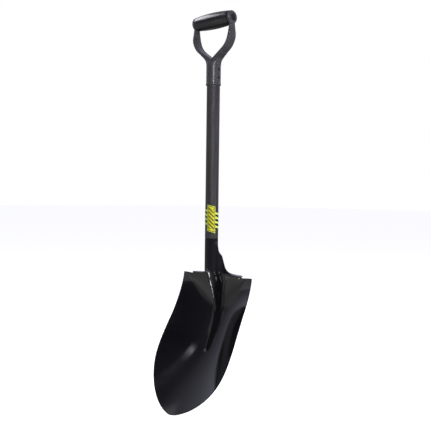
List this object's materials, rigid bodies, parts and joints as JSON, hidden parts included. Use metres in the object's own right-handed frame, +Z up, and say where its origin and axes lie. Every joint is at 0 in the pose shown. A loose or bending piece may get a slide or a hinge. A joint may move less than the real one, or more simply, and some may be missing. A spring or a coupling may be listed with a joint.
{
  "type": "round point shovel",
  "caption": "Round point digging shovel: dished pressed steel blade with frog, socket and foot treads, straight wooden shaft, moulded D grip with a barrel.",
  "frame": {"origin": "on the shaft axis, in the plane of the tops of the two foot treads", "axes": "+Z up the shaft towards the grip, -Y the way the hollow front of the blade faces, +X across the blade"},
  "size_m": [0.2324, 0.1689, 0.9431],
  "materials": {
    "blade_paint": "gloss black enamel, satin on the socket",
    "shaft_wood": "black stained hardwood, fine grain showing through a matt lacquer",
    "label_film": "printed yellow film",
    "yoke_plastic": "moulded, finely textured",
    "barrel_plastic": "smooth gloss",
    "rivet_steel": "black coated steel",
    "rod_steel": "dark oxide steel"
  },
  "bodies": {
    "root": {"blade": "blade_paint", "socket_rivet": "rivet_steel", "shaft": "shaft_wood", "label": "label_film", "yoke": "yoke_plastic", "yoke_rivets": "rivet_steel", "grip_barrel": "barrel_plastic", "grip_rod": "rod_steel", "rod_washers": "rod_steel"}
  },
  "joints": []
}
